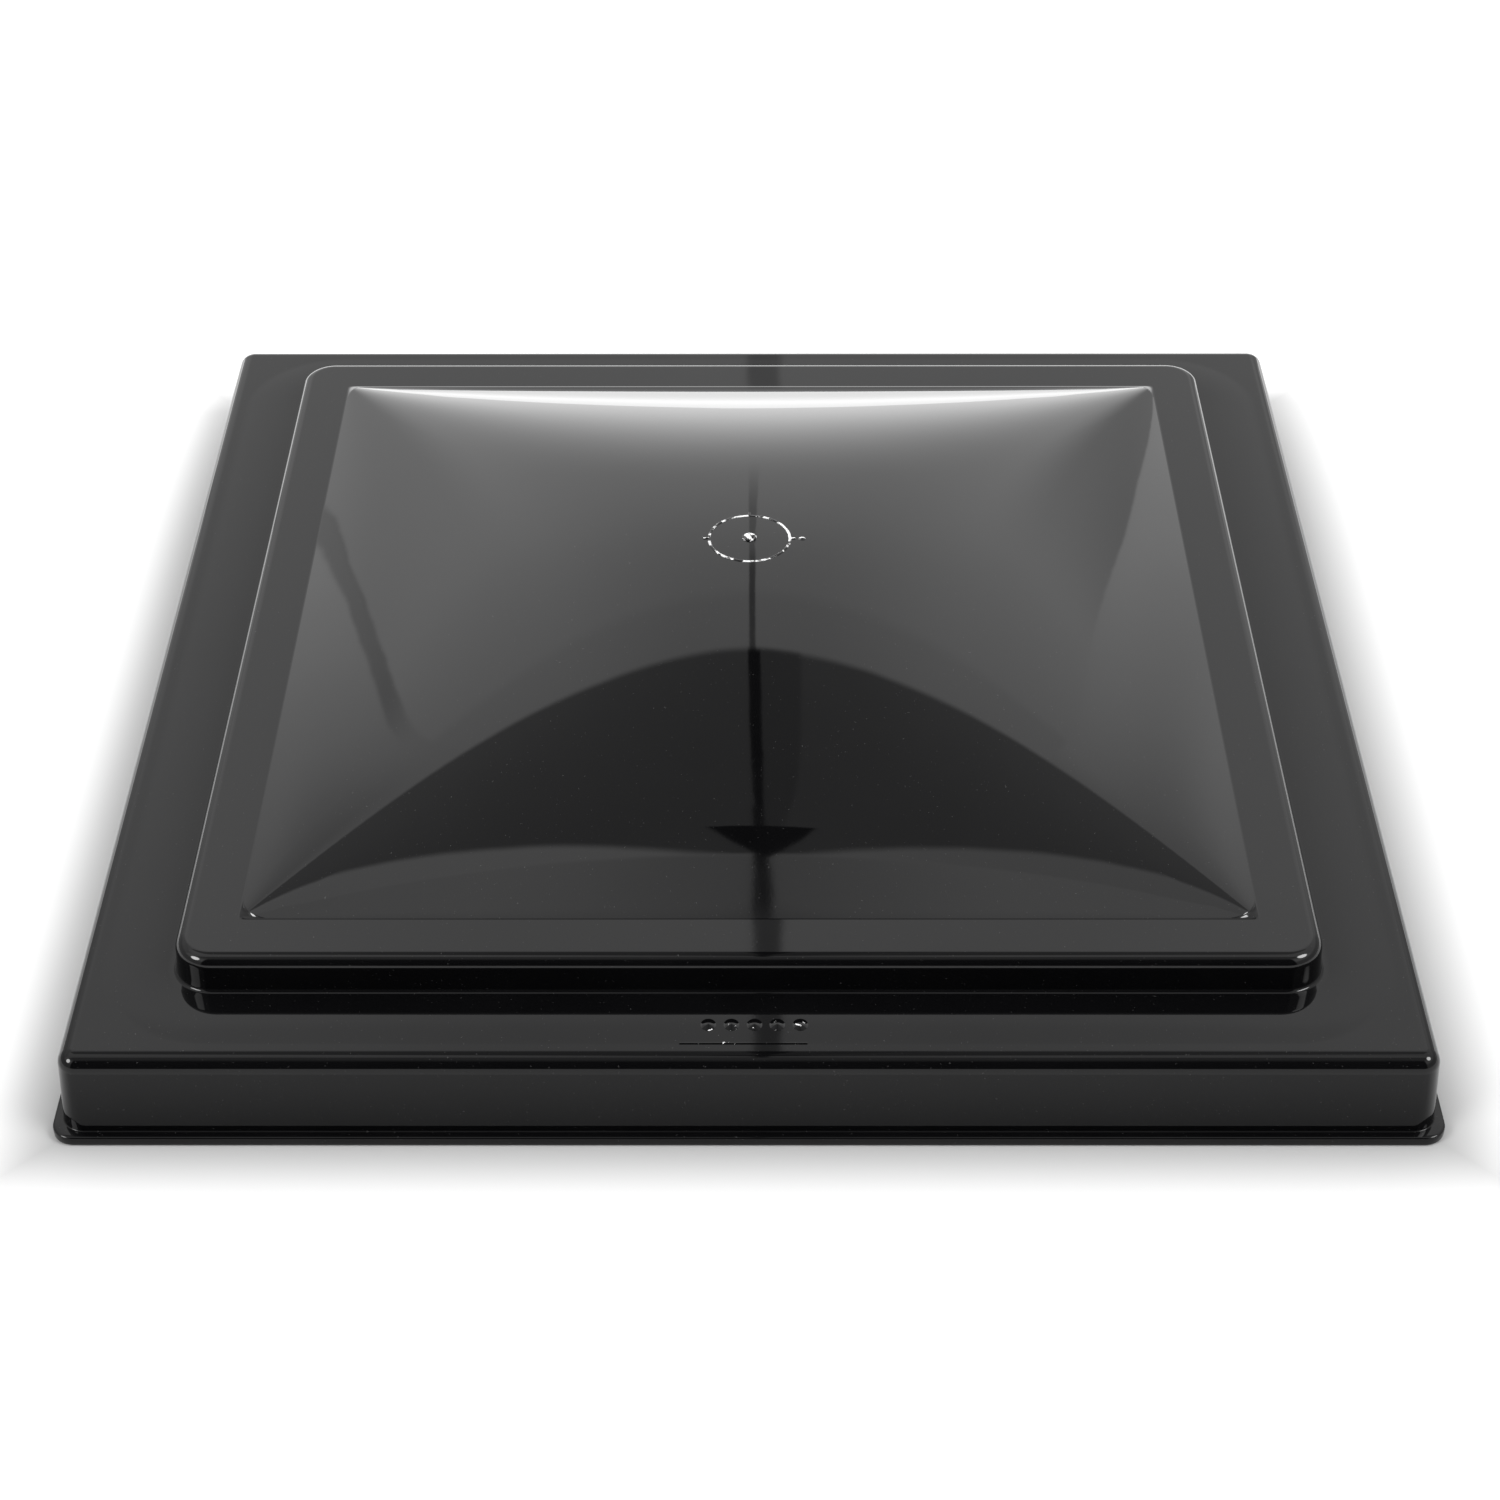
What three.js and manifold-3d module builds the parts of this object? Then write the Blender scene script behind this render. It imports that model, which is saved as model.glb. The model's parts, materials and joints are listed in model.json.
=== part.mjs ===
// Roof vent cover: the moulded lid of a 14 inch caravan roof vent, with its gasket, rear hinge and lift track.
//
// Frame: millimetres, +Z up. The origin is the centre of the rim, on the plane the rim's lip rests on.
// +Y is the hinge side, -Y is the side that lifts.

import * as THREE from 'three';
import { mergeVertices } from 'three/addons/utils/BufferGeometryUtils.js';
import Module from 'manifold-3d';

const wasm = await Module();
wasm.setup();

// ---- Driving dimensions ----------------------------------------------------------------------------

// Moulded lid: half sizes of its square outlines, and heights above the lip's underside. A draft is how
// much further out a wall's foot lies than its top.
const WALL = 2.5;
const LIP_HALF = 209.5;
const LIP_CORNER = 7;
const LIP_THICKNESS = 3.1;
const LIP_FILLET = 0.8;
const SKIRT_HALF = 205.3;
const SKIRT_DRAFT = 1.3;
const SKIRT_CORNER = 6;
const SKIRT_TOP = 30.5;
const SKIRT_ROUND = 5;
const SKIRT_INNER_CHAMFER = 2;
const TIER_HALF = 174.3;
const TIER_DRAFT = 0.5;
const TIER_CORNER = 12;
const TIER_TOP = 42.9;
const TIER_ROUND = 4;
const TIER_FILLET = 1.2;
const DOME_HALF = 155.5;
const DOME_CORNER = 8;
const DOME_RISE = 34.8;
const DOME_POWER = 1.5;
const DOME_SOFT = 0.12;
const DOME_BLEND = 1.5;
const DOME_WALL = 2.6;
const DOME_RINGS = [0.12, 0.27, 0.42, 0.57, 0.71, 0.84, 0.94, 1];

// Marks on top: a ring around the moulding gate, and a row of pips over a thin rule on the front flange.
const MARK_RADIUS = 13.7;
const MARK_WIDTH = 0.9;
const MARK_HEIGHT = 0.35;
const PIP_X = [-12, -5.1, 1.8, 8.6, 15.5];
const PIP_Y = -189.4;
const PIP_RADIUS = 2.6;
const PIP_NARROW = 0.9;
const PIP_HEIGHT = 0.5;
const RULE_X = [-20.5, 17.5];
const RULE_Y = -197.2;
const RULE_WIDTH = 0.8;
const RULE_HEIGHT = 0.35;

// Underside: gasket rib, gussets, rails and screw bosses.
const GASKET_RIB_HALF = 178.2;
const GASKET_RIB_WALL = 1.5;
const GASKET_RIB_BOTTOM = 24;
const GUSSET_WALL = 1.6;
const GUSSET_SPACING = 120;
const GUSSET_BOTTOM = 10;
const RAIL_WALL = 2;
const RAIL_HALF_LENGTH = 100;
const RAIL_BOTTOM = 63.5;
const CROSS_RIB_HALF_LENGTH = 42;
const BOSS_RADIUS = 4.5;
const BOSS_HOLE_RADIUS = 1.95;
const BOSS_HOLE_TOP = 69.2;

// Foam gasket, on the underside of the flange.
const GASKET_WIDTH = 12;
const GASKET_OUTER_HALF = 193;
const GASKET_BOTTOM = 22.2;

// Rear hinge: a piano hinge whose barrel lies along X.
const HINGE_Y = 192;
const HINGE_Z = 8;
const HINGE_HALF_LENGTH = 100;
const KNUCKLE_RADIUS = 4;
const KNUCKLE_BORE = 2.35;
const KNUCKLE_GAP = 0.6;
const PIN_RADIUS = 2;
const PIN_HALF_LENGTH = 104;
const LEAF_WALL = 1.5;
const LEAF_CLEAR_Z = 12.6;
const BASE_LEAF_TOP = 21;
const BASE_HOLE_RADIUS = 2.25;
const BASE_HOLE_Z = 16.8;
const BASE_HOLE_X = [-80, -27, 27, 80];
const LID_LEAF_TOP = 25.2;
const LID_LEAF_OUTER_Y = 202.5;
const RIVET_Z = 20.6;
const WASHER_Y = 206.15;
const WASHER_THICKNESS = 0.8;
const RIVET_X = [-88, -32, 32, 88];
const RIVET_RADIUS = 1.55;
const RIVET_HOLE_RADIUS = 1.95;

// Lift track under the dome, and the shoe that slides in it.
const TRACK_TOP = 62;
const TRACK_HALF_WIDTH = 12;
const TRACK_HEIGHT = 10;
const TRACK_WALL = 1.2;
const TRACK_LIP = 5.2;
const TRACK_HALF_LENGTH = 60;
const TRACK_TAB_END = 76;
const SCREW_X = 7;
const SCREW_Y = 68;
const SCREW_RADIUS = 1.7;
const SHOE_HALF_LENGTH = 11;
const SHOE_HALF_WIDTH = 10.2;
const SHOE_NECK_HALF_WIDTH = 6.2;
const LUG_RADIUS = 6.5;
const LUG_Z = 45;
const LIFT_PIN_RADIUS = 2.5;
const LIFT_PIN_END = 15;
const CLIP_X = 12.4;

const GAP = 0.3;
const CORNER_STEPS = 4;
const SIDE_STEPS = 8;
const ROUND_STEPS = 16;

// ---- Materials -------------------------------------------------------------------------------------

const material = (color, roughness, metalness) =>
  new THREE.MeshStandardMaterial({ color, roughness, metalness });

const LID_PLASTIC = material(0x0c0d0e, 0.12, 0);
const FOAM = material(0x202122, 0.95, 0);
const GALVANISED = material(0xa8abad, 0.45, 0.9);
const STEEL = material(0x9a9c9e, 0.3, 1);
const ALUMINIUM = material(0xc9cbcd, 0.35, 1);
const NYLON = material(0xe4e1d6, 0.5, 0);

// ---- Helpers ---------------------------------------------------------------------------------------

// Turns a closed geometry into a solid that can be joined and cut.
function solid(geometry) {
  const bare = geometry.clone();
  bare.deleteAttribute('normal');
  bare.deleteAttribute('uv');
  const merged = mergeVertices(bare, 1e-4);
  return new wasm.Manifold(new wasm.Mesh({
    numProp: 3,
    vertProperties: new Float32Array(merged.attributes.position.array),
    triVerts: new Uint32Array(merged.index.array),
  }));
}

// Turns a solid back into a geometry for a mesh.
function geometryOf(body) {
  const mesh = body.getMesh();
  const geometry = new THREE.BufferGeometry();
  geometry.setAttribute('position', new THREE.BufferAttribute(new Float32Array(mesh.vertProperties), 3));
  geometry.setIndex(new THREE.BufferAttribute(new Uint32Array(mesh.triVerts), 1));
  geometry.computeVertexNormals();
  return geometry;
}

function join(bodies) {
  return bodies.reduce((whole, body) => whole.add(body));
}

function cut(body, tools) {
  return tools.reduce((rest, tool) => rest.subtract(tool), body);
}

function box([x0, y0, z0], [x1, y1, z1]) {
  const geometry = new THREE.BoxGeometry(x1 - x0, y1 - y0, z1 - z0);
  return geometry.translate((x0 + x1) / 2, (y0 + y1) / 2, (z0 + z1) / 2);
}

function shapeOf(points) {
  return new THREE.Shape(points.map(([u, v]) => new THREE.Vector2(u, v)));
}

// A polygon drawn in the YZ plane, extruded along X.
function prismAlongX(points, x0, x1) {
  const geometry = new THREE.ExtrudeGeometry(shapeOf(points), { depth: x1 - x0, bevelEnabled: false });
  const axes = new THREE.Matrix4().makeBasis(
    new THREE.Vector3(0, 1, 0),
    new THREE.Vector3(0, 0, 1),
    new THREE.Vector3(1, 0, 0),
  );
  return geometry.applyMatrix4(axes).translate(x0, 0, 0);
}

// A polygon drawn in the XZ plane, extruded along Y.
function prismAlongY(points, y0, y1) {
  const geometry = new THREE.ExtrudeGeometry(shapeOf(points), { depth: y1 - y0, bevelEnabled: false });
  return geometry.rotateX(Math.PI / 2).translate(0, y1, 0);
}

function rod(radius, x0, x1, steps = ROUND_STEPS) {
  const geometry = new THREE.CylinderGeometry(radius, radius, x1 - x0, steps);
  return geometry.rotateZ(-Math.PI / 2).translate((x0 + x1) / 2, 0, 0);
}

function post(radius, z0, z1, steps = ROUND_STEPS) {
  const geometry = new THREE.CylinderGeometry(radius, radius, z1 - z0, steps);
  return geometry.rotateX(Math.PI / 2).translate(0, 0, (z0 + z1) / 2);
}

// A profile of [radius, height] turned about Z.
function turned(profile, steps = ROUND_STEPS) {
  const points = profile.map(([radius, height]) => new THREE.Vector2(radius, height));
  return new THREE.LatheGeometry(points, steps).rotateX(Math.PI / 2);
}

// A square of half size `half` with rounded corners, walked counter-clockwise.
function outline(half, radius) {
  const points = [];
  const centre = half - radius;
  for (let corner = 0; corner < 4; corner += 1) {
    const turn = corner * Math.PI / 2;
    const spin = ([x, y]) => [
      x * Math.cos(turn) - y * Math.sin(turn),
      x * Math.sin(turn) + y * Math.cos(turn),
    ];
    for (let step = 0; step <= CORNER_STEPS; step += 1) {
      const angle = step / CORNER_STEPS * Math.PI / 2;
      points.push(spin([centre + radius * Math.cos(angle), centre + radius * Math.sin(angle)]));
    }
    for (let step = 1; step < SIDE_STEPS; step += 1) {
      points.push(spin([centre - 2 * centre * step / SIDE_STEPS, half]));
    }
  }
  return points;
}

// A quarter arc of [half, height] pairs about (half, height), from one angle to another in degrees.
function arc(half, height, radius, from, to, steps) {
  const pairs = [];
  for (let step = 0; step <= steps; step += 1) {
    const angle = THREE.MathUtils.degToRad(from + (to - from) * step / steps);
    pairs.push([half + radius * Math.cos(angle), height + radius * Math.sin(angle)]);
  }
  return pairs;
}

// A skin through a chain of rings. A chain may start and end in a single point, or close on itself.
function loft(rings, first, last) {
  const count = rings[0].length;
  const positions = rings.flat(2);
  const index = [];
  const link = (lower, upper) => {
    for (let j = 0; j < count; j += 1) {
      const next = (j + 1) % count;
      index.push(lower * count + j, upper * count + j, upper * count + next);
      index.push(lower * count + j, upper * count + next, lower * count + next);
    }
  };
  for (let ring = 0; ring + 1 < rings.length; ring += 1) {
    link(ring, ring + 1);
  }
  if (first) {
    const apex = positions.length / 3;
    positions.push(...first, ...last);
    const end = (rings.length - 1) * count;
    for (let j = 0; j < count; j += 1) {
      const next = (j + 1) % count;
      index.push(apex, j, next);
      index.push(apex + 1, end + next, end + j);
    }
  } else {
    link(rings.length - 1, 0);
  }
  const geometry = new THREE.BufferGeometry();
  geometry.setAttribute('position', new THREE.BufferAttribute(new Float32Array(positions), 3));
  geometry.setIndex(index);
  return geometry;
}

function flatRing(half, radius, z) {
  return outline(half, radius).map(([x, y]) => [x, y, z]);
}

// ---- Dome shape ------------------------------------------------------------------------------------

// 0 on the centre line and 1 at the dome's edge: nearly straight flanks that meet in a soft ridge.
function flank(t) {
  const soft = (value) => (value * value + DOME_SOFT * DOME_SOFT) ** (DOME_POWER / 2);
  return (soft(t) - soft(0)) / (soft(1) - soft(0));
}

// Height of the dome above its base at (x, y): the two directions blend along the diagonals.
function domeRise(x, y) {
  const a = Math.max(1 - flank(x / DOME_HALF), 1e-4);
  const b = Math.max(1 - flank(y / DOME_HALF), 1e-4);
  const blend = (a ** -DOME_BLEND + b ** -DOME_BLEND) / 2;
  return DOME_RISE * blend ** (-1 / DOME_BLEND);
}

// Rings of the dome from its centre to its base, with the surface's base at height z.
function domeRings(half, corner, z) {
  const scale = DOME_HALF / half;
  return DOME_RINGS.map((part) => {
    const reach = half * part;
    const radius = part === 1 ? corner : reach * (0.1 + 0.5 * (1 - part));
    return outline(reach, radius).map(([x, y]) => {
      const rise = part === 1 ? 0 : domeRise(x * scale, y * scale);
      return [x, y, z + rise];
    });
  });
}

// ---- Lid shell -------------------------------------------------------------------------------------

function lidSkin() {
  const innerSkirt = SKIRT_HALF - WALL;
  const innerTier = TIER_HALF - WALL;
  const innerDome = DOME_HALF - 1.3;
  const flangeUnder = SKIRT_TOP - WALL;
  const tierUnder = TIER_TOP - WALL;
  const ring = (corner, half) => ([reach, z]) => flatRing(reach, Math.max(corner + reach - half, 1), z);

  const tierWall = [
    ...arc(TIER_HALF - TIER_ROUND, TIER_TOP - TIER_ROUND, TIER_ROUND, 90, 0, 2),
    ...arc(TIER_HALF + TIER_DRAFT + TIER_FILLET, SKIRT_TOP + TIER_FILLET, TIER_FILLET, 180, 270, 2),
  ];
  const skirtWall = [
    ...arc(SKIRT_HALF - SKIRT_ROUND, SKIRT_TOP - SKIRT_ROUND, SKIRT_ROUND, 90, 0, 3),
    ...arc(SKIRT_HALF + SKIRT_DRAFT + LIP_FILLET, LIP_THICKNESS + LIP_FILLET, LIP_FILLET, 180, 270, 2),
  ];
  const lip = [
    [LIP_HALF - 0.5, LIP_THICKNESS],
    [LIP_HALF, LIP_THICKNESS - 0.5],
    [LIP_HALF, 0.5],
    [LIP_HALF - 0.5, 0],
  ];
  const innerSkirtWall = [
    [innerSkirt, 0],
    [innerSkirt, flangeUnder - SKIRT_INNER_CHAMFER],
    [innerSkirt - SKIRT_INNER_CHAMFER, flangeUnder],
  ];
  const innerTierWall = [
    [innerTier + 2, flangeUnder],
    [innerTier, flangeUnder + 2],
    [innerTier, tierUnder - 1],
    [innerTier - 1, tierUnder],
  ];
  const rings = [
    ...domeRings(DOME_HALF, DOME_CORNER, TIER_TOP),
    ...tierWall.map(ring(TIER_CORNER, TIER_HALF)),
    ...skirtWall.map(ring(SKIRT_CORNER, SKIRT_HALF)),
    ...lip.map(ring(LIP_CORNER, LIP_HALF)),
    ...innerSkirtWall.map(ring(SKIRT_CORNER, SKIRT_HALF)),
    ...innerTierWall.map(ring(TIER_CORNER, TIER_HALF)),
    ...domeRings(innerDome, DOME_CORNER - 1, tierUnder - DOME_WALL + WALL).reverse(),
  ];
  const top = [0, 0, TIER_TOP + DOME_RISE];
  const under = [0, 0, tierUnder - DOME_WALL + WALL + DOME_RISE];
  return solid(loft(rings, top, under));
}

// A rib's outline: straight below, and following the middle of the dome's wall above.
function ribProfile(halfLength, place) {
  const steps = 8;
  const profile = [[-halfLength, RAIL_BOTTOM], [halfLength, RAIL_BOTTOM]];
  for (let step = 0; step <= steps; step += 1) {
    const along = halfLength - 2 * halfLength * step / steps;
    profile.push([along, TIER_TOP + domeRise(along, place) - DOME_WALL / 2]);
  }
  return profile;
}

// Two rails and two cross ribs under the dome, with a screw boss at each crossing.
function domeRibs() {
  const bossTop = TIER_TOP + domeRise(SCREW_X, SCREW_Y) - DOME_WALL / 2;
  const half = RAIL_WALL / 2;
  const ribs = [-1, 1].flatMap((side) => [
    prismAlongX(ribProfile(RAIL_HALF_LENGTH, SCREW_X), side * SCREW_X - half, side * SCREW_X + half),
    prismAlongY(ribProfile(CROSS_RIB_HALF_LENGTH, SCREW_Y), side * SCREW_Y - half, side * SCREW_Y + half),
    ...[-1, 1].map((end) =>
      post(BOSS_RADIUS, TRACK_TOP + GAP, bossTop).translate(side * SCREW_X, end * SCREW_Y, 0)),
  ]);
  return join(ribs.map(solid));
}

function gasketRib() {
  const inner = GASKET_RIB_HALF - GASKET_RIB_WALL;
  const top = SKIRT_TOP - WALL / 2;
  return solid(loft([
    flatRing(inner, 6, top),
    flatRing(GASKET_RIB_HALF, 7.5, top),
    flatRing(GASKET_RIB_HALF, 7.5, GASKET_RIB_BOTTOM),
    flatRing(inner, 6, GASKET_RIB_BOTTOM),
  ]));
}

// Small triangles between the skirt and the flange, on every side but the hinge's.
function gussets() {
  const root = SKIRT_HALF - WALL / 2;
  const top = SKIRT_TOP - WALL / 2;
  const inner = GASKET_OUTER_HALF + 1;
  const profile = [
    [root, GUSSET_BOTTOM],
    [root, SKIRT_TOP - SKIRT_ROUND],
    [SKIRT_HALF - SKIRT_ROUND + 0.5, top],
    [inner, top],
    [inner, top - 3.2],
  ];
  const bodies = [];
  for (const turn of [1, 2, 3]) {
    for (const place of [-1, 0, 1]) {
      const middle = place * GUSSET_SPACING;
      const geometry = prismAlongX(profile, middle - GUSSET_WALL / 2, middle + GUSSET_WALL / 2);
      bodies.push(solid(geometry.rotateZ(turn * Math.PI / 2)));
    }
  }
  return join(bodies);
}

// The ring, its ticks and dot, and the gate's nub, each raised a little above the dome's crown.
function crownMarks() {
  const outer = MARK_RADIUS + MARK_WIDTH / 2;
  const inner = outer - MARK_WIDTH;
  const topAt = (x, y) => TIER_TOP + domeRise(x, y) + MARK_HEIGHT;
  const low = topAt(outer, 0) - 1.6;
  const high = topAt(outer, 0);
  const hoop = turned([[inner, low], [outer, low], [outer, high], [inner, high], [inner, low]], 28);
  const dotX = outer + 4.2;
  const nub = [[0, -1.5], [2.4, -1.5], [2.2, 0.5], [1.3, 1], [0, 1]];
  const pieces = [
    hoop,
    box([-0.6, outer - 0.3, low], [0.6, outer + 1.6, high]),
    box([outer - 0.3, -0.6, low], [outer + 1.6, 0.6, high]),
    box([-outer - 1.6, -0.6, low], [-outer + 0.3, 0.6, high]),
    post(0.9, low, topAt(dotX, 0), 10).translate(dotX, 0, 0),
    turned(nub, 12).translate(0, 0, TIER_TOP + DOME_RISE),
  ];
  return join(pieces.map(solid));
}

// A row of oval pips, with a thin rule in front of them.
function frontMarks() {
  const low = SKIRT_TOP - 1;
  const pips = PIP_X.map((x) => {
    const pip = post(PIP_RADIUS, low, SKIRT_TOP + PIP_HEIGHT, 12).scale(PIP_NARROW, 1, 1);
    return pip.translate(x, PIP_Y, 0);
  });
  const half = RULE_WIDTH / 2;
  const rule = box([RULE_X[0], RULE_Y - half, low], [RULE_X[1], RULE_Y + half, SKIRT_TOP + RULE_HEIGHT]);
  return join([...pips, rule].map(solid));
}

function lidShell() {
  const body = join([lidSkin(), domeRibs(), gasketRib(), gussets(), crownMarks(), frontMarks()]);
  const pilotHoles = [-1, 1].flatMap((side) => [-1, 1].map((end) => {
    const hole = post(BOSS_HOLE_RADIUS, TRACK_TOP - 1, BOSS_HOLE_TOP, 12);
    return solid(hole.translate(side * SCREW_X, end * SCREW_Y, 0));
  }));
  const rivetHoles = RIVET_X.map((x) => {
    const hole = post(RIVET_HOLE_RADIUS, -WALL - 1, 2, 12).rotateX(-Math.PI / 2);
    return solid(hole.translate(x, SKIRT_HALF, RIVET_Z));
  });
  return geometryOf(cut(body, [...pilotHoles, ...rivetHoles]));
}

// ---- Gasket ----------------------------------------------------------------------------------------

// One foam strip with softened lower edges, lying along X and centred on its own origin's underside.
function gasketStrip(length) {
  const half = GASKET_WIDTH / 2;
  const height = SKIRT_TOP - WALL - GAP - GASKET_BOTTOM;
  const profile = [
    [-half, 1.2],
    [-half + 1.2, 0],
    [half - 1.2, 0],
    [half, 1.2],
    [half, height],
    [-half, height],
  ];
  return prismAlongX(profile, -length / 2, length / 2);
}

// ---- Hinge -----------------------------------------------------------------------------------------

// The barrel is shared by five knuckles: three on the base leaf and two on the lid leaf.
const KNUCKLE_EDGES = [-100, -60, -20, 20, 60, 100];

function knuckleSpans(owner) {
  const spans = [];
  for (let i = 0; i + 1 < KNUCKLE_EDGES.length; i += 1) {
    const outerStart = i === 0 ? 0 : KNUCKLE_GAP / 2;
    const outerEnd = i + 2 === KNUCKLE_EDGES.length ? 0 : KNUCKLE_GAP / 2;
    if (i % 2 === owner) {
      spans.push([KNUCKLE_EDGES[i] + outerStart, KNUCKLE_EDGES[i + 1] - outerEnd]);
    }
  }
  return spans;
}

// A leaf: its bent plate, its own knuckles, and room cut out around the other leaf's knuckles.
function hingeLeaf(profile, owner, holes) {
  const plate = solid(prismAlongX(profile, -HINGE_HALF_LENGTH, HINGE_HALF_LENGTH));
  const notches = knuckleSpans(1 - owner).map(([x0, x1]) =>
    solid(box([x0 - KNUCKLE_GAP, -20, -20], [x1 + KNUCKLE_GAP, 20, LEAF_CLEAR_Z - HINGE_Z])));
  const knuckles = knuckleSpans(owner).map(([x0, x1]) => solid(rod(KNUCKLE_RADIUS, x0, x1, 20)));
  const bore = solid(rod(KNUCKLE_BORE, -HINGE_HALF_LENGTH - 1, HINGE_HALF_LENGTH + 1, 20));
  const body = join([cut(plate, notches), ...knuckles]);
  return geometryOf(cut(body, [bore, ...holes]));
}

function baseLeaf() {
  const outer = -KNUCKLE_RADIUS;
  const top = BASE_LEAF_TOP - HINGE_Z;
  const profile = [[outer, 0], [outer + LEAF_WALL, 0], [outer + LEAF_WALL, top], [outer, top]];
  const holes = BASE_HOLE_X.map((x) => {
    const hole = post(BASE_HOLE_RADIUS, -8, 4, 12).rotateX(-Math.PI / 2);
    return solid(hole.translate(x, -KNUCKLE_RADIUS + LEAF_WALL, BASE_HOLE_Z - HINGE_Z));
  });
  return hingeLeaf(profile, 0, holes);
}

function lidLeaf() {
  const low = KNUCKLE_RADIUS;
  const high = LID_LEAF_OUTER_Y - HINGE_Y;
  const top = LID_LEAF_TOP - HINGE_Z;
  const profile = [
    [low - LEAF_WALL, 0],
    [low, 0],
    [low, 4.8],
    [high, 8.6],
    [high, top],
    [high - LEAF_WALL, top],
    [high - LEAF_WALL, 9.6],
    [low - LEAF_WALL, 5.8],
  ];
  const holes = RIVET_X.map((x) => {
    const hole = post(RIVET_HOLE_RADIUS, -4, 4, 12).rotateX(-Math.PI / 2);
    return solid(hole.translate(x, high, RIVET_Z - HINGE_Z));
  });
  return hingeLeaf(profile, 1, holes);
}

// The pin, with slightly rounded ends.
function hingePin() {
  const length = PIN_HALF_LENGTH;
  const profile = [
    [0, -length],
    [PIN_RADIUS - 0.5, -length],
    [PIN_RADIUS, -length + 0.5],
    [PIN_RADIUS, length - 0.5],
    [PIN_RADIUS - 0.5, length],
    [0, length],
  ];
  return turned(profile).rotateY(Math.PI / 2);
}

// A pressed cap ring that keeps the pin from sliding out.
function pushNut() {
  const profile = [[2.3, 0], [4.6, 0], [4.6, 0.8], [3.8, 1.3], [2.9, 1.3], [2.3, 0.8], [2.3, 0]];
  return turned(profile).rotateY(Math.PI / 2);
}

// A rivet's head bears on its washer, just clear of it.
const RIVET_SEAT_Y = WASHER_Y + WASHER_THICKNESS + GAP;

// A blind rivet, standing on Z with its head up and z = 0 under the head.
function rivet() {
  const grip = LID_LEAF_OUTER_Y - LEAF_WALL - GAP - RIVET_SEAT_Y;
  return turned([
    [0, grip - 1.4],
    [1.6, grip - 1.4],
    [2.7, grip - 0.8],
    [2.7, grip],
    [RIVET_RADIUS, grip],
    [RIVET_RADIUS, 0],
    [3.2, 0],
    [3, 0.7],
    [1.8, 1.4],
    [0, 1.5],
  ], 12);
}

function rivetWasher() {
  const top = WASHER_THICKNESS;
  return turned([[RIVET_HOLE_RADIUS, 0], [4.5, 0], [4.5, top], [RIVET_HOLE_RADIUS, top], [RIVET_HOLE_RADIUS, 0]]);
}

// ---- Lift track and shoe ---------------------------------------------------------------------------

// A folded channel, open below, with flat screw tabs and a stop at each end.
function liftTrack() {
  const half = TRACK_HALF_WIDTH;
  const wall = TRACK_WALL;
  const low = TRACK_TOP - TRACK_HEIGHT;
  const side = (sign) => [
    [sign * half, TRACK_TOP],
    [sign * half, low],
    [sign * (half - TRACK_LIP), low],
    [sign * (half - TRACK_LIP), low + wall],
    [sign * (half - wall), low + wall],
    [sign * (half - wall), TRACK_TOP - wall],
  ];
  const section = [...side(-1), ...side(1).reverse()];
  const bodies = [
    prismAlongY(section, -TRACK_HALF_LENGTH, TRACK_HALF_LENGTH),
    box([-half, -TRACK_TAB_END, TRACK_TOP - wall], [half, TRACK_TAB_END, TRACK_TOP]),
    box([-4, -TRACK_HALF_LENGTH, TRACK_TOP - 6], [4, -TRACK_HALF_LENGTH + wall, TRACK_TOP - wall / 2]),
    box([-4, TRACK_HALF_LENGTH - wall, TRACK_TOP - 6], [4, TRACK_HALF_LENGTH, TRACK_TOP - wall / 2]),
  ];
  const holes = [-1, 1].flatMap((x) => [-1, 1].map((y) =>
    solid(post(2.1, low, TRACK_TOP + 1, 12).translate(x * SCREW_X, y * SCREW_Y, 0))));
  return geometryOf(cut(join(bodies.map(solid)), holes));
}

// A pan head screw with a cross recess, pointing up, with z = 0 at the top of its head's rim.
function trackScrew() {
  const reach = BOSS_HOLE_TOP - 0.5 - (TRACK_TOP - TRACK_WALL - GAP);
  const body = solid(turned([
    [0, -2.5],
    [2.2, -2.3],
    [3.4, -1.2],
    [3.4, 0],
    [SCREW_RADIUS, 0],
    [SCREW_RADIUS, reach - 1.2],
    [0.5, reach],
    [0, reach],
  ], 12));
  const recess = [
    box([-1.7, -0.35, -4], [1.7, 0.35, -1.4]),
    box([-0.35, -1.7, -4], [0.35, 1.7, -1.4]),
  ];
  return geometryOf(cut(body, recess.map(solid)));
}

// The nylon shoe: a block held in the channel, and a lug below it for the lift arm's pin.
function sliderShoe() {
  const low = TRACK_TOP - TRACK_HEIGHT + TRACK_WALL + 0.5;
  const high = TRACK_TOP - TRACK_WALL - 0.5;
  const neck = SHOE_NECK_HALF_WIDTH;
  const lug = rod(LUG_RADIUS, -neck, neck, 20).translate(0, 0, LUG_Z);
  const bodies = [
    box([-SHOE_HALF_WIDTH, -SHOE_HALF_LENGTH, low], [SHOE_HALF_WIDTH, SHOE_HALF_LENGTH, high]),
    box([-neck, -LUG_RADIUS, LUG_Z], [neck, LUG_RADIUS, high - 1]),
    lug,
  ];
  const bore = solid(rod(LIFT_PIN_RADIUS + 0.4, -neck - 1, neck + 1, 16).translate(0, 0, LUG_Z));
  return geometryOf(cut(join(bodies.map(solid)), [bore]));
}

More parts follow.
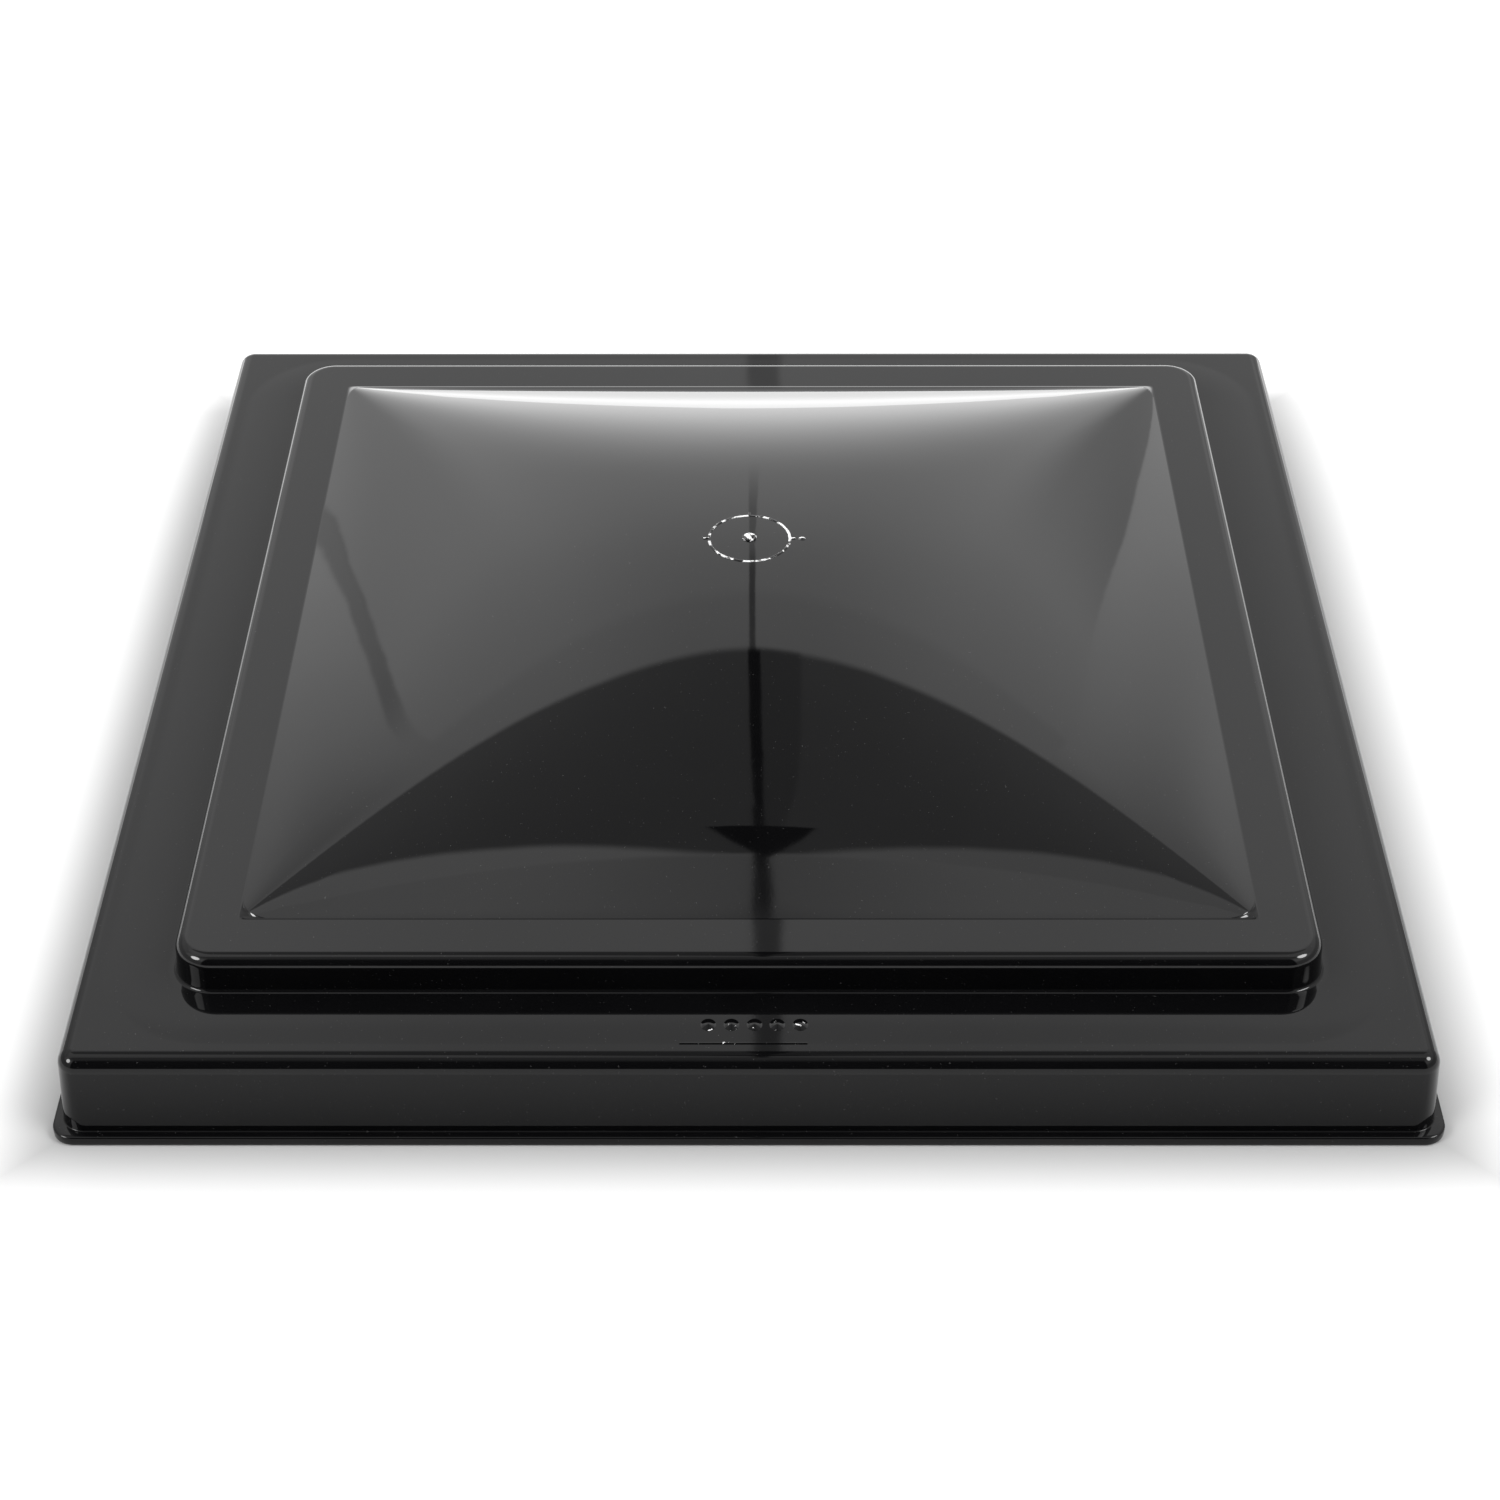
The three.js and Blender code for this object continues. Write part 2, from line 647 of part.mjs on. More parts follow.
// A headed pin with a groove for its clip, lying along X.
function liftPin() {
  const head = -SHOE_NECK_HALF_WIDTH - GAP;
  const radius = LIFT_PIN_RADIUS;
  return turned([
    [0, head - 2],
    [4, head - 2],
    [4.5, head - 1.5],
    [4.5, head],
    [radius, head],
    [radius, CLIP_X - 0.7],
    [radius - 0.6, CLIP_X - 0.7],
    [radius - 0.6, CLIP_X + 0.7],
    [radius, CLIP_X + 0.7],
    [radius, LIFT_PIN_END - 0.6],
    [radius - 0.6, LIFT_PIN_END],
    [0, LIFT_PIN_END],
  ]).rotateY(Math.PI / 2);
}

// An open spring clip that snaps into the pin's groove.
function pinClip() {
  const opening = THREE.MathUtils.degToRad(50);
  const points = [];
  for (let step = 0; step <= 12; step += 1) {
    const angle = opening + step / 12 * (2 * Math.PI - 2 * opening);
    points.push([4.6 * Math.cos(angle), 4.6 * Math.sin(angle)]);
  }
  for (let step = 12; step >= 0; step -= 1) {
    const angle = opening + step / 12 * (2 * Math.PI - 2 * opening);
    points.push([2.3 * Math.cos(angle), 2.3 * Math.sin(angle)]);
  }
  return prismAlongX(points, -0.4, 0.4);
}

// ---- Assembly --------------------------------------------------------------------------------------

function piece(name, geometry, look, [x, y, z] = [0, 0, 0], [rx, ry, rz] = [0, 0, 0]) {
  const mesh = new THREE.Mesh(geometry, look);
  mesh.name = name;
  mesh.position.set(x, y, z);
  mesh.rotation.set(rx, ry, rz);
  return mesh;
}

const cover = new THREE.Group();

const lid = new THREE.Group();
lid.add(piece('lid_shell', lidShell(), LID_PLASTIC));

const stripAt = GASKET_OUTER_HALF - GASKET_WIDTH / 2;
const longStrip = gasketStrip(2 * GASKET_OUTER_HALF);
const shortStrip = gasketStrip(2 * (GASKET_OUTER_HALF - GASKET_WIDTH - GAP));
lid.add(piece('gasket_front', longStrip, FOAM, [0, -stripAt, GASKET_BOTTOM]));
lid.add(piece('gasket_rear', longStrip, FOAM, [0, stripAt, GASKET_BOTTOM]));
lid.add(piece('gasket_left', shortStrip, FOAM, [-stripAt, 0, GASKET_BOTTOM], [0, 0, Math.PI / 2]));
lid.add(piece('gasket_right', shortStrip, FOAM, [stripAt, 0, GASKET_BOTTOM], [0, 0, Math.PI / 2]));

lid.add(piece('hinge_leaf_lid', lidLeaf(), GALVANISED, [0, HINGE_Y, HINGE_Z]));
const rivetShape = rivet();
const washerShape = rivetWasher();
RIVET_X.forEach((x, i) => {
  const outward = [-Math.PI / 2, 0, 0];
  lid.add(piece(`hinge_rivet_${i + 1}`, rivetShape, ALUMINIUM, [x, RIVET_SEAT_Y, RIVET_Z], outward));
  lid.add(piece(`rivet_washer_${i + 1}`, washerShape, ALUMINIUM, [x, WASHER_Y, RIVET_Z], outward));
});

lid.add(piece('lift_track', liftTrack(), GALVANISED));
const screwShape = trackScrew();
[[-1, -1], [1, -1], [-1, 1], [1, 1]].forEach(([x, y], i) => {
  const seat = TRACK_TOP - TRACK_WALL - GAP;
  lid.add(piece(`track_screw_${i + 1}`, screwShape, STEEL, [x * SCREW_X, y * SCREW_Y, seat]));
});
cover.add(lid);

const slider = new THREE.Group();
slider.add(piece('slider_shoe', sliderShoe(), NYLON));
slider.add(piece('lift_pin', liftPin(), STEEL, [0, 0, LUG_Z]));
slider.add(piece('lift_pin_clip', pinClip(), STEEL, [CLIP_X, 0, LUG_Z], [Math.PI / 2, 0, 0]));
cover.add(slider);

const hinge = new THREE.Group();
hinge.position.set(0, HINGE_Y, HINGE_Z);
hinge.add(piece('hinge_leaf_base', baseLeaf(), GALVANISED));
hinge.add(piece('hinge_pin', hingePin(), STEEL));
const nutShape = pushNut();
hinge.add(piece('push_nut_right', nutShape, STEEL, [HINGE_HALF_LENGTH + 1, 0, 0]));
hinge.add(piece('push_nut_left', nutShape, STEEL, [-HINGE_HALF_LENGTH - 1, 0, 0], [0, Math.PI, 0]));
cover.add(hinge);

export default cover;
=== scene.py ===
"""Looks of the roof vent cover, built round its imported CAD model.

Metres, +Z up, +Y towards the hinge, +X to the right seen from the front.
The origin is the centre of the rim, on the plane its lip rests on.
"""

import json
import math

import bmesh
import bpy
from mathutils import Matrix, Vector


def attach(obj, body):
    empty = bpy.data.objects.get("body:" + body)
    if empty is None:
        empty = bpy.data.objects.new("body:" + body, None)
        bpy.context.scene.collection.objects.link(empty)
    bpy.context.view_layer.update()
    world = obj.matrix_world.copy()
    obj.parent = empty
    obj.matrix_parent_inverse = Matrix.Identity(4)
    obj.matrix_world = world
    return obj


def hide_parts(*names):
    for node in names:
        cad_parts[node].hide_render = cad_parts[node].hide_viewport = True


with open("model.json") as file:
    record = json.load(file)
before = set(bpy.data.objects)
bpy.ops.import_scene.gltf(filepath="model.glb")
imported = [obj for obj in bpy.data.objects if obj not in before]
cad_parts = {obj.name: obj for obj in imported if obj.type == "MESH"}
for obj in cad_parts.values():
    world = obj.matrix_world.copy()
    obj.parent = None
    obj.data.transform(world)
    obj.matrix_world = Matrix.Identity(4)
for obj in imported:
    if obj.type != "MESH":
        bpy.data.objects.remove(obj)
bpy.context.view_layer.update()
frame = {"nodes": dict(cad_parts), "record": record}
bodies = frame["record"]["behaviour"]["bodies"]
body_of = {node: body for body, nodes in bodies.items() for node in nodes}
slot_of = {part["node"]: part["material_slot"] for part in frame["record"]["subparts"]}
scene = bpy.context.scene

# ---- Lid dimensions, in millimetres: a "half" is measured from the centre to a flat side --------------

WALL = 2.5
LIP_HALF, LIP_CORNER, LIP_THICKNESS, LIP_FILLET = 209.5, 7, 3.1, 0.35
LIP_TOP_ROUND, LIP_BOTTOM_ROUND = 0.7, 0.4
SKIRT_HALF, SKIRT_DRAFT, SKIRT_CORNER, SKIRT_TOP = 205.3, 1.3, 6, 30.5
SKIRT_ROUND, SKIRT_INNER_ROUND = 5, 2
TIER_HALF, TIER_DRAFT, TIER_CORNER, TIER_TOP = 174.3, 0.5, 12, 42.9
TIER_ROUND, TIER_FILLET, TIER_WALL_TOP = 4, 1.2, 39.8
TIER_INNER_FOOT = (3, 0), (1.6, 0.2), (0.4, 1), (0, 2.2)
TIER_INNER_TOP = (0, 1.6), (0.4, 0.5), (1.6, 0)
FLANGE_BORDER, FLANGE_CROWN = 197, 0.19
DOME_HALF, DOME_CORNER, DOME_RISE, DOME_WALL, DOME_INSET = 155.5, 8, 34.8, 2.6, 1.3
DOME_POWER, DOME_SOFT, DOME_BLEND = 1.5, 0.12, 1.5
MARK_RADIUS, MARK_WIDTH, MARK_HEIGHT, MARK_SUNK = 13.7, 0.45, 0.35, -0.6
TICK_LENGTH, DOT_X, DOT_RADIUS = 1.9, 4.2, 1.2
PIP_X, PIP_Y = (-12, -5.1, 1.8, 8.6, 15.5), -189.4
PIP_RADIUS, PIP_NARROW, PIP_HEIGHT = 2.6, 0.9, 0.5
RULE_X, RULE_Y, RULE_WIDTH, RULE_HEIGHT = (-20.5, 17.5), -197.2, 0.8, 0.35
GASKET_RIB_HALF, GASKET_RIB_WALL, GASKET_RIB_BOTTOM = 178.2, 1.5, 24
GUSSET_WALL, GUSSET_SPACING, GUSSET_REACH, GUSSET_BOTTOM = 1.6, 120, 194, 10
RAIL_WALL, RAIL_HALF_LENGTH, RAIL_BOTTOM, CROSS_RIB_HALF_LENGTH = 2, 100, 63.5, 42
BOSS_RADIUS, BOSS_BOTTOM, BOSS_HOLE_RADIUS, BOSS_HOLE_TOP = 4.5, 62.3, 1.95, 69.2
SCREW_X, SCREW_Y = 7, 68
CORNER_STEPS, SIDE_STEPS, DOME_RING_COUNT = 12, 36, 44
SHARP_DEGREES, BEVEL_DEGREES = 38, 40
MOULDED_BEVEL = 0.0003


# ---- Mesh helpers -------------------------------------------------------------------------------------

def add_object(name, mesh, material, body, nodes=()):
    """Links a mesh as a piece that rides on a CAD body and stands for the CAD nodes given."""
    piece = bpy.data.objects.new(name, mesh)
    scene.collection.objects.link(piece)
    if material:
        piece.data.materials.clear()
        piece.data.materials.append(material)
    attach(piece, body)
    if nodes:
        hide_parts(*nodes)
    return piece


def mesh_from(name, points, faces):
    """A smooth mesh from points in millimetres."""
    mesh = bpy.data.meshes.new(name)
    mesh.from_pydata([(x * 0.001, y * 0.001, z * 0.001) for x, y, z in points], [], faces)
    mesh.validate()
    for polygon in mesh.polygons:
        polygon.use_smooth = True
    return mesh


def outline(half, radius):
    """A rounded square, walked counter-clockwise."""
    points = []
    centre = half - radius
    for corner in range(4):
        cos, sin = [(1, 0), (0, 1), (-1, 0), (0, -1)][corner]
        side = []
        for step in range(CORNER_STEPS + 1):
            angle = step / CORNER_STEPS * math.pi / 2
            side.append((centre + radius * math.cos(angle), centre + radius * math.sin(angle)))
        for step in range(1, SIDE_STEPS):
            side.append((centre - 2 * centre * step / SIDE_STEPS, half))
        points += [(x * cos - y * sin, x * sin + y * cos) for x, y in side]
    return points


def flat_ring(half, radius, z):
    """A rounded square at one height."""
    return [(x, y, z) for x, y in outline(half, radius)]


def arc(half, height, radius, start, end, steps):
    """Pairs of half and height along a round; the angles are in degrees."""
    pairs = []
    for step in range(steps + 1):
        angle = math.radians(start + (end - start) * step / steps)
        pairs.append((half + radius * math.cos(angle), height + radius * math.sin(angle)))
    return pairs


def flank(t):
    """How far the dome has sunk at the share t of its half: 0 at the centre and 1 at the base."""
    def soft(value):
        return (value * value + DOME_SOFT * DOME_SOFT) ** (DOME_POWER / 2)
    return (soft(t) - soft(0)) / (soft(1) - soft(0))


def dome_rise(x, y):
    """The dome's height over its base: two curved flanks, blended softly along the diagonals."""
    a = max(1 - flank(x / DOME_HALF), 1e-4)
    b = max(1 - flank(y / DOME_HALF), 1e-4)
    blend = (a ** -DOME_BLEND + b ** -DOME_BLEND) / 2
    return DOME_RISE * blend ** (-1 / DOME_BLEND)


def dome_rings(half, corner, z):
    """Rings from the centre of the dome to its base, closest together near the base."""
    rings = []
    scale = DOME_HALF / half
    for index in range(1, DOME_RING_COUNT + 1):
        part = math.sin(index / DOME_RING_COUNT * math.pi / 2) ** 1.15
        reach = half * part
        radius = max(corner * part, reach * (0.05 + 0.55 * (1 - part)))
        rings.append([(x, y, z + dome_rise(x * scale, y * scale)) for x, y in outline(reach, radius)])
    rings[-1] = flat_ring(half, corner, z)
    return rings


def skin(rings, first=None, last=None):
    """Points and faces of a skin through rings; first and last are the points that close its ends."""
    count = len(rings[0])
    points = [point for one in rings for point in one]
    faces = []
    for low in range(len(rings) - 1):
        for j in range(count):
            k = (j + 1) % count
            faces.append((low * count + j, (low + 1) * count + j, (low + 1) * count + k, low * count + k))
    if first:
        points.append(first)
        faces += [(len(points) - 1, j, (j + 1) % count) for j in range(count)]
    if last:
        points.append(last)
        base = (len(rings) - 1) * count
        faces += [(len(points) - 1, base + (j + 1) % count, base + j) for j in range(count)]
    return points, faces


class Bodies:
    """Collects closed bodies, in millimetres, for one mesh."""

    def __init__(self):
        self.points = []
        self.faces = []

    def add(self, points, faces):
        start = len(self.points)
        self.points += points
        self.faces += [tuple(start + index for index in face) for face in faces]

    def prism(self, section, near, far, place):
        """A section of (u, v) pairs drawn out from near to far; place makes (u, v, along) a point."""
        count = len(section)
        points = [place(u, v, along) for along in (near, far) for u, v in section]
        faces = [tuple(range(count)), tuple(range(2 * count - 1, count - 1, -1))]
        faces += [(j, j + count, (j + 1) % count + count, (j + 1) % count) for j in range(count)]
        self.add(points, faces)

    def hoop(self, section, steps, place):
        """A closed section of (radius, height) pairs turned about Z; place puts each (x, y, height)."""
        count = len(section)
        points = []
        for step in range(steps):
            angle = 2 * math.pi * step / steps
            cos, sin = math.cos(angle), math.sin(angle)
            points += [place(radius * cos, radius * sin, height) for radius, height in section]
        faces = []
        for step in range(steps):
            here, ahead = step * count, (step + 1) % steps * count
            for j in range(count):
                k = (j + 1) % count
                faces.append((here + j, ahead + j, ahead + k, here + k))
        self.add(points, faces)

    def mesh(self, name):
        """The mesh, with merged points, outward faces and sharp edges kept sharp."""
        mesh = mesh_from(name, self.points, self.faces)
        body = bmesh.new()
        body.from_mesh(mesh)
        bmesh.ops.remove_doubles(body, verts=body.verts, dist=1e-6)
        bmesh.ops.dissolve_degenerate(body, dist=1e-7, edges=body.edges)
        bmesh.ops.recalc_face_normals(body, faces=body.faces)
        sharpen(body)
        body.to_mesh(mesh)
        body.free()
        return mesh


def sharpen(body):
    """Smooth faces, with the steep edges left sharp."""
    for face in body.faces:
        face.smooth = True
    for edge in body.edges:
        edge.smooth = edge.calc_face_angle(0) < math.radians(SHARP_DEGREES)


def soften_edges(piece, width):
    """Rounds the sharp edges a little; width is in metres."""
    rounding = piece.modifiers.new("edges", "BEVEL")
    rounding.width = width
    rounding.segments = 2
    rounding.limit_method = "ANGLE"
    rounding.angle_limit = math.radians(BEVEL_DEGREES)


# ---- Materials ----------------------------------------------------------------------------------------

class Nodes:
    """Builds a node tree in few lines."""

    def __init__(self, tree):
        self.tree = tree

    def add(self, kind, inputs=None, **settings):
        node = self.tree.nodes.new(kind)
        for key, value in settings.items():
            setattr(node, key, value)
        self.fill(node, inputs or {})
        return node

    def fill(self, node, inputs):
        """Links or sets each input of a node."""
        for key, value in inputs.items():
            if isinstance(value, bpy.types.NodeSocket):
                self.tree.links.new(value, node.inputs[key])
            else:
                node.inputs[key].default_value = value

    def math(self, operation, a, b=0.0, c=0.0):
        return self.add("ShaderNodeMath", {0: a, 1: b, 2: c}, operation=operation).outputs[0]

    def step(self, value, low, high):
        """0 below low, 1 above high, smooth between."""
        return self.add(
            "ShaderNodeMapRange",
            {"Value": value, "From Min": low, "From Max": high},
            interpolation_type="SMOOTHSTEP",
        ).outputs[0]

    def spread(self, value, low, high):
        """Maps 0..1 to low..high."""
        return self.add(
            "ShaderNodeMapRange", {"Value": value, "To Min": low, "To Max": high}
        ).outputs[0]

    def noise(self, vector, scale, detail=2.0, roughness=0.5, distortion=0.0):
        return self.add("ShaderNodeTexNoise", {
            "Vector": vector,
            "Scale": scale,
            "Detail": detail,
            "Roughness": roughness,
            "Distortion": distortion,
        }).outputs["Fac"]

    def blend(self, factor, a, b):
        return self.add("ShaderNodeMix", {0: factor, 6: a, 7: b}, data_type="RGBA").outputs[2]

    def bump(self, height, strength, distance, normal=None):
        inputs = {"Height": height, "Strength": strength, "Distance": distance}
        if normal:
            inputs["Normal"] = normal
        return self.add("ShaderNodeBump", inputs).outputs["Normal"]


def new_material(name):
    """A material, its node builder, its shader and the object's own coordinates."""
    material = bpy.data.materials.new(name)
    material.use_nodes = True
    nodes = Nodes(material.node_tree)
    shader = material.node_tree.nodes["Principled BSDF"]
    place = nodes.add("ShaderNodeTexCoord").outputs["Object"]
    return material, nodes, shader, place


def gloss_black(name, shine, painted_glint_cutoff=None):
    """Polished black moulding: slow waves in the surface, faint haze and dust.

    Raised marks also get white patches painted on as highlights, standing in for their glints; the higher
    the cutoff given, the fewer of them.
    """
    material, n, shader, place = new_material(name)
    waves = n.noise(place, 11.0, 1.0)
    ripple = n.noise(place, 46.0, 1.5)
    peel = n.noise(place, 900.0, 2.0)
    haze = n.noise(place, 24.0, 4.0, 0.6, 0.4)
    dust = n.step(n.noise(place, 1400.0, 1.0, 0.4), 0.73, 0.82)
    tone = n.blend(haze, (0.0014, 0.0014, 0.0016, 1), (0.0032, 0.0032, 0.0035, 1))
    normal = n.bump(waves, 1.0, 0.00018)
    normal = n.bump(ripple, 1.0, 0.000012, normal)
    normal = n.bump(peel, 1.0, 0.0000004, normal)
    rough = n.math("ADD", n.spread(haze, 0.012, 0.04), n.math("MULTIPLY", dust, 0.12))
    colour = n.blend(dust, tone, (0.03, 0.03, 0.03, 1))
    if painted_glint_cutoff:
        # Painted highlight: white patches on the raised marks that stand in for their glints.
        painted_glint = n.step(n.noise(place, 330.0, 3.0, 0.6, 0.6), painted_glint_cutoff, painted_glint_cutoff + 0.06)
        colour = n.blend(painted_glint, colour, (0.75, 0.75, 0.75, 1))
        rough = n.math("MULTIPLY_ADD", painted_glint, 0.5, rough)
    n.fill(shader, {
        "Base Color": colour,
        "Roughness": rough,
        "IOR": 1.5,
        "Specular IOR Level": shine,
        "Normal": normal,
    })
    return material


def satin_black():
    """The inside of the moulding, which the mould leaves duller, with flow marks."""
    material, n, shader, place = new_material("lid_satin_black")
    grain = n.noise(place, 1600.0, 2.0)
    flow = n.noise(place, 18.0, 5.0, 0.6, 1.2)
    normal = n.bump(grain, 0.35, 0.00002)
    normal = n.bump(flow, 1.0, 0.00012, normal)
    n.fill(shader, {
        "Base Color": n.blend(flow, (0.006, 0.006, 0.0065, 1), (0.013, 0.013, 0.0135, 1)),
        "Roughness": n.spread(flow, 0.26, 0.42),
        "IOR": 1.5,
        "Normal": normal,
    })
    return material


def foam():
    """Closed-cell foam: fine cells, a skin with shallow dents."""
    material, n, shader, place = new_material("gasket_foam")
    cells = n.add("ShaderNodeTexVoronoi", {"Vector": place, "Scale": 1500.0}).outputs["Distance"]
    dents = n.noise(place, 130.0, 3.0)
    normal = n.bump(cells, 0.7, 0.00025)
    normal = n.bump(dents, 0.6, 0.0006, normal)
    n.fill(shader, {
        "Base Color": n.blend(dents, (0.012, 0.012, 0.013, 1), (0.04, 0.04, 0.043, 1)),
        "Roughness": n.spread(cells, 0.8, 1.0),
        "IOR": 1.4,
        "Normal": normal,
    })
    return material


def galvanised():
    """Hot-dip zinc on sheet steel: crystal spangle, dull patches, a few bright scratches."""
    material, n, shader, place = new_material("galvanised_sheet")
    spangle = n.add("ShaderNodeTexVoronoi", {"Vector": place, "Scale": 260.0}).outputs["Color"]
    crystal = n.add("ShaderNodeSeparateColor", {"Color": spangle}).outputs[0]
    patches = n.noise(place, 60.0, 5.0, 0.6)
    stretched = n.add("ShaderNodeMapping", {"Vector": place, "Scale": (0.15, 3.0, 3.0)}).outputs[0]
    scratches = n.step(n.noise(stretched, 900.0, 2.0), 0.68, 0.74)
    tone = n.blend(crystal, (0.38, 0.4, 0.41, 1), (0.6, 0.62, 0.64, 1))
    tone = n.blend(n.math("MULTIPLY", patches, 0.5), tone, (0.5, 0.5, 0.5, 1))
    rough = n.math("ADD", n.spread(crystal, 0.28, 0.42), n.math("MULTIPLY", patches, 0.12))
    normal = n.bump(crystal, 0.25, 0.00002)
    normal = n.bump(scratches, 0.2, 0.00003, normal)
    n.fill(shader, {
        "Base Color": n.blend(scratches, tone, (0.78, 0.79, 0.8, 1)),
        "Roughness": rough,
        "Metallic": 1.0,
        "Normal": normal,
    })
    return material


def bright_metal(name, low, high, rough_low, rough_high):
    """Turned or plated small hardware: fine tool marks and handling wear."""
    material, n, shader, place = new_material(name)
    marks = n.noise(place, 2600.0, 2.0, 0.6)
    wear = n.noise(place, 240.0, 4.0, 0.6)
    normal = n.bump(marks, 0.3, 0.00001)
    n.fill(shader, {
        "Base Color": n.blend(wear, low, high),
        "Roughness": n.spread(wear, rough_low, rough_high),
        "Metallic": 1.0,
        "Normal": normal,
    })
    return material


def nylon():
    """Natural nylon: faintly translucent, fine moulded grain, slightly soiled."""
    material, n, shader, place = new_material("natural_nylon")
    grain = n.noise(place, 1800.0, 2.0)
    soil = n.noise(place, 170.0, 5.0, 0.65)
    normal = n.bump(grain, 0.3, 0.00002)
    n.fill(shader, {
        "Base Color": n.blend(n.step(soil, 0.45, 0.8), (0.74, 0.71, 0.62, 1), (0.5, 0.47, 0.4, 1)),
        "Roughness": n.spread(soil, 0.38, 0.56),
        "IOR": 1.53,
        "Normal": normal,
    })
    return material


# Copies of one gloss black that differ only in how much they reflect: the tier, flange and walls reflect
# less, which darkens them as painted shade.
DOME = gloss_black("lid_gloss_dome", 0.5)
TIER = gloss_black("lid_gloss_tier", 0.37)
FLANGE = gloss_black("lid_gloss_flange", 0.295)
WALLS = gloss_black("lid_gloss_walls", 0.21)
# The marks' last number is the cutoff for their painted highlights, white patches that stand in for
# glints.
CROWN_MARKS = gloss_black("lid_gloss_crown_marks", 0.5, 0.49)
FRONT_MARKS = gloss_black("lid_gloss_front_marks", 0.4, 0.61)
SATIN = satin_black()
FOAM = foam()
ZINC = galvanised()
STEEL = bright_metal("plated_steel", (0.5, 0.51, 0.52, 1), (0.68, 0.69, 0.7, 1), 0.18, 0.36)
ALUMINIUM = bright_metal("satin_aluminium", (0.66, 0.67, 0.68, 1), (0.82, 0.83, 0.84, 1), 0.28, 0.45)
NYLON = nylon()

# Each slot's material, and the bevel of its pieces in metres.
LOOKS = {
    "foam": (FOAM, 0.0004),
    "galvanised_steel": (ZINC, 0.0002),
    "plain_steel": (STEEL, 0.0),
    "aluminium": (ALUMINIUM, 0.0),
    "nylon": (NYLON, 0.0004),
}


# ---- Lid moulding -------------------------------------------------------------------------------------

def guarded(pairs, gap=0.35):
    """Adds a support point just before and just after a rounded run, so that the flats stay flat."""
    (x0, z0), (x1, z1) = pairs[0], pairs[1]
    (x2, z2), (x3, z3) = pairs[-2], pairs[-1]
    before = (x0, z0 - math.copysign(gap, z1 - z0))
    if abs(z1 - z0) < abs(x1 - x0):
        before = (x0 - gap, z0)
    after = (x3, z3 + math.copysign(gap, z3 - z2))
    if abs(z3 - z2) < abs(x3 - x2):
        after = (x3 + gap, z3)
    return [before, *pairs, after]


def flange_crown(start, steps=12):
    """The flange bulges very slightly between the tier's foot and its flat border."""
    pairs = []
    for step in range(1, steps + 1):
        part = step / steps
        bulge = FLANGE_CROWN * (1 - (2 * part - 1) ** 2)
        pairs.append((start + (FLANGE_BORDER - start) * part, SKIRT_TOP + bulge))
    return pairs + [(FLANGE_BORDER + 0.8, SKIRT_TOP)]


def outer_tier():
    """The tier's outline from the dome's base over its edge and down its wall, then the flange."""
    foot = TIER_HALF + TIER_DRAFT + TIER_FILLET
    pairs = [(DOME_HALF + 0.5, TIER_TOP)]
    pairs += guarded(arc(TIER_HALF - TIER_ROUND, TIER_TOP - TIER_ROUND, TIER_ROUND, 90, 0, 9))
    pairs += guarded(arc(foot, SKIRT_TOP + TIER_FILLET, TIER_FILLET, 180, 270, 9))[:-1]
    return pairs + flange_crown(foot)


def outer_skirt():
    """The outline over the flange's edge and down the skirt, to the top of the lip."""
    foot = SKIRT_HALF + SKIRT_DRAFT + LIP_FILLET
    pairs = guarded(arc(SKIRT_HALF - SKIRT_ROUND, SKIRT_TOP - SKIRT_ROUND, SKIRT_ROUND, 90, 0, 14))
    return pairs + guarded(arc(foot, LIP_THICKNESS + LIP_FILLET, LIP_FILLET, 180, 270, 9))


def outer_lip():
    """The lip's edge, rounded above and below."""
    above, below = LIP_TOP_ROUND, LIP_BOTTOM_ROUND
    pairs = arc(LIP_HALF - above, LIP_THICKNESS - above, above, 90, 0, 4)
    return pairs + arc(LIP_HALF - below, below, below, 0, -90, 3)


def inner_skirt():
    """The outline up the inside of the skirt, and round under the flange."""
    half, under, reach = SKIRT_HALF - WALL, SKIRT_TOP - WALL, SKIRT_INNER_ROUND
    pairs = [(half + 0.4, 0), (half, 0.4), (half, 1.5)]
    return pairs + guarded(arc(half - reach, under - reach, reach, 0, 90, 6))


def inner_tier():
    """The outline from under the flange up the inside of the tier."""
    half, low, high = TIER_HALF - WALL, SKIRT_TOP - WALL, TIER_TOP - WALL
    pairs = [(half + out, low + up) for out, up in TIER_INNER_FOOT]
    return pairs + [(half - reach, high - down) for reach, down in TIER_INNER_TOP]


